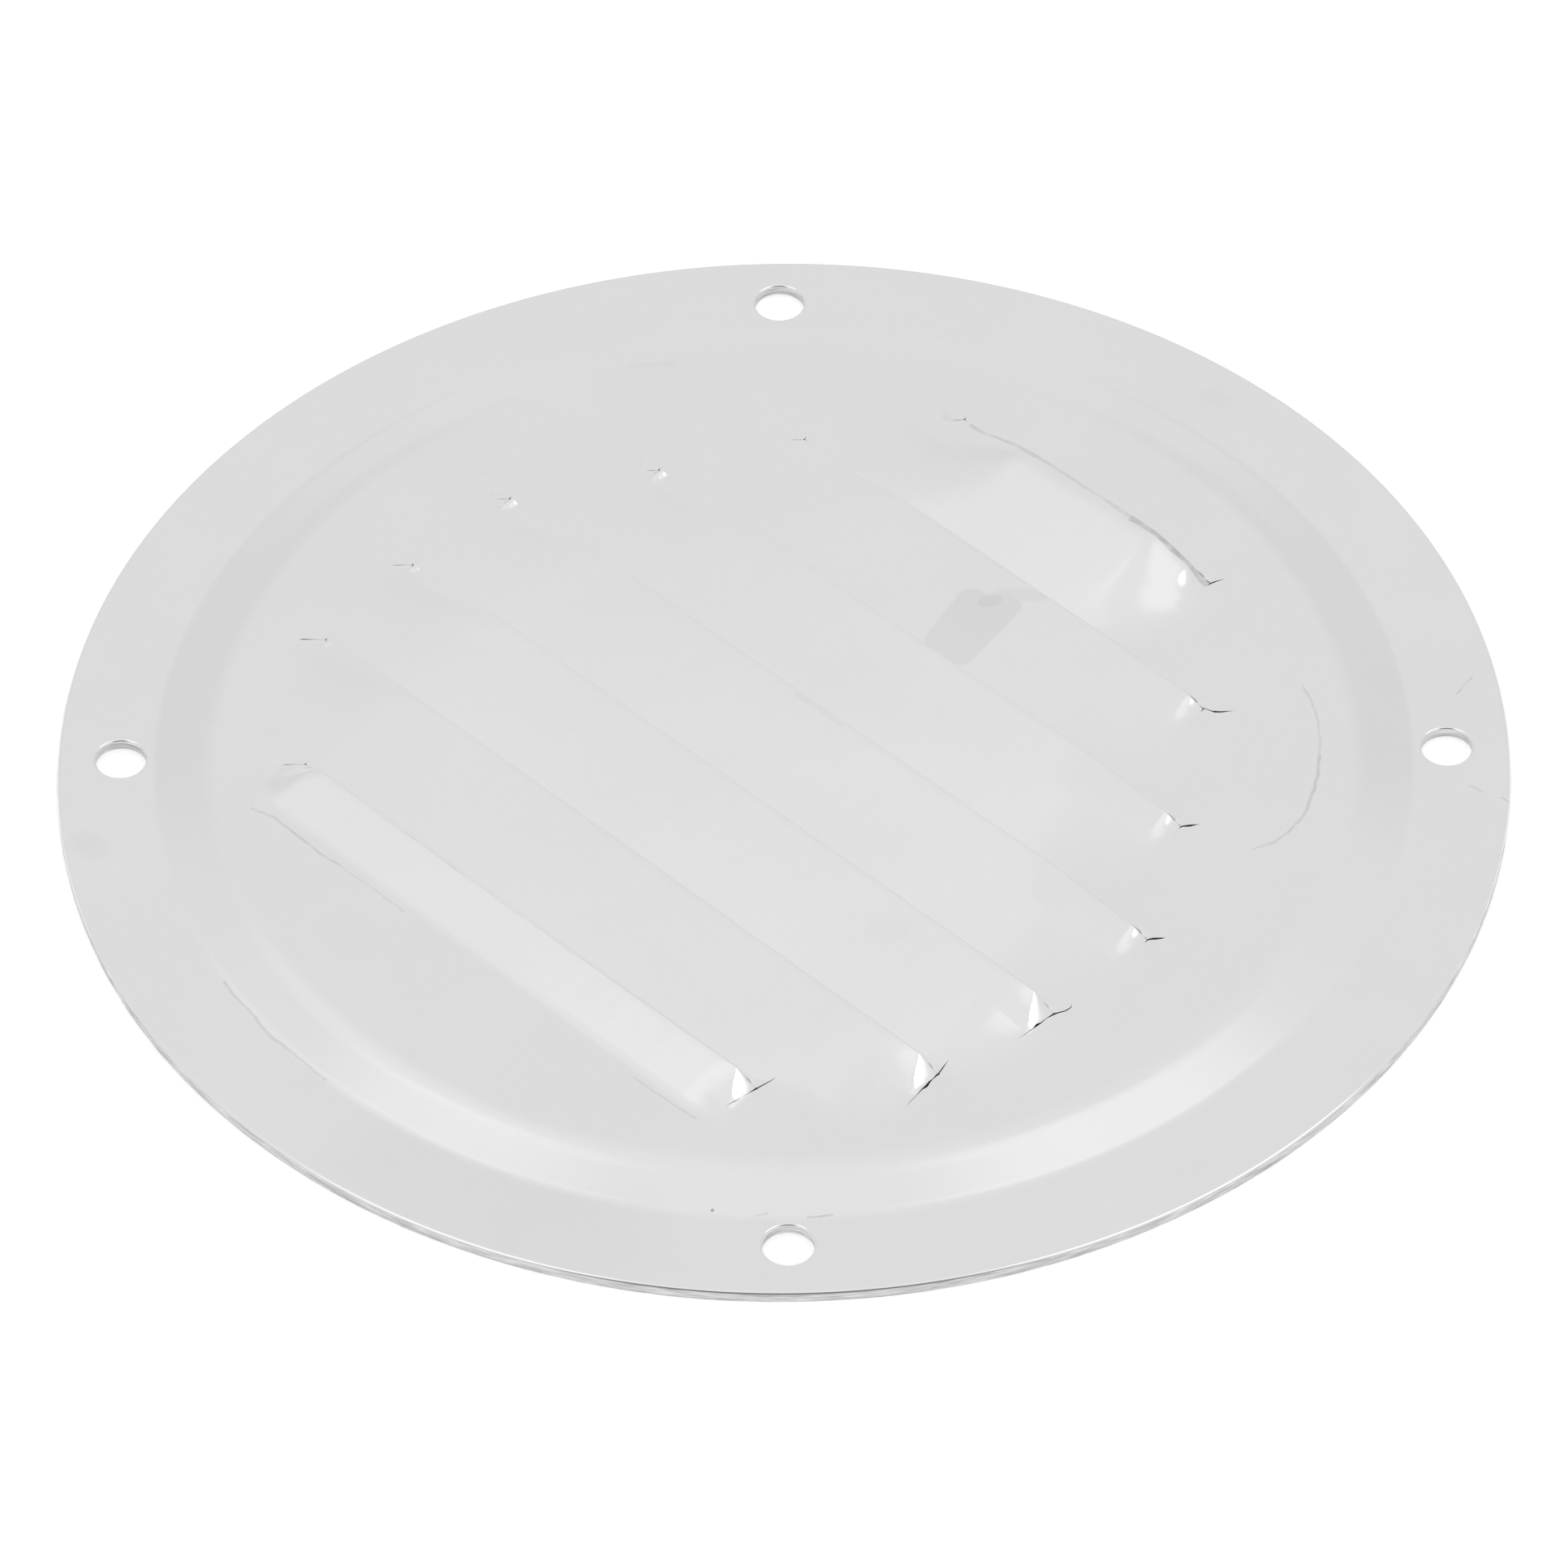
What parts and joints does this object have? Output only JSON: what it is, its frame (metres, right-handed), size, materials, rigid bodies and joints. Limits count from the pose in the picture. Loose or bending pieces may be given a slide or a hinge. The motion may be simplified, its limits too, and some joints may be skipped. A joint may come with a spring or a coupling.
{
  "type": "round vent cover",
  "caption": "Round pressed stainless steel vent cover: a flat flange with screw holes, a shallow raised dish and straight lanced louvres that let air through and shed rain.",
  "frame": {"origin": "centre of the flange's back face, which lies on the wall", "axes": "+Z out of the wall, +Y up the wall, louvres along X and open towards -Y"},
  "size_m": [0.127, 0.127, 0.0044],
  "materials": {
    "polished_steel": "polished stainless steel sheet"
  },
  "bodies": {
    "root": {"louvred_cover": "polished_steel"}
  },
  "joints": []
}
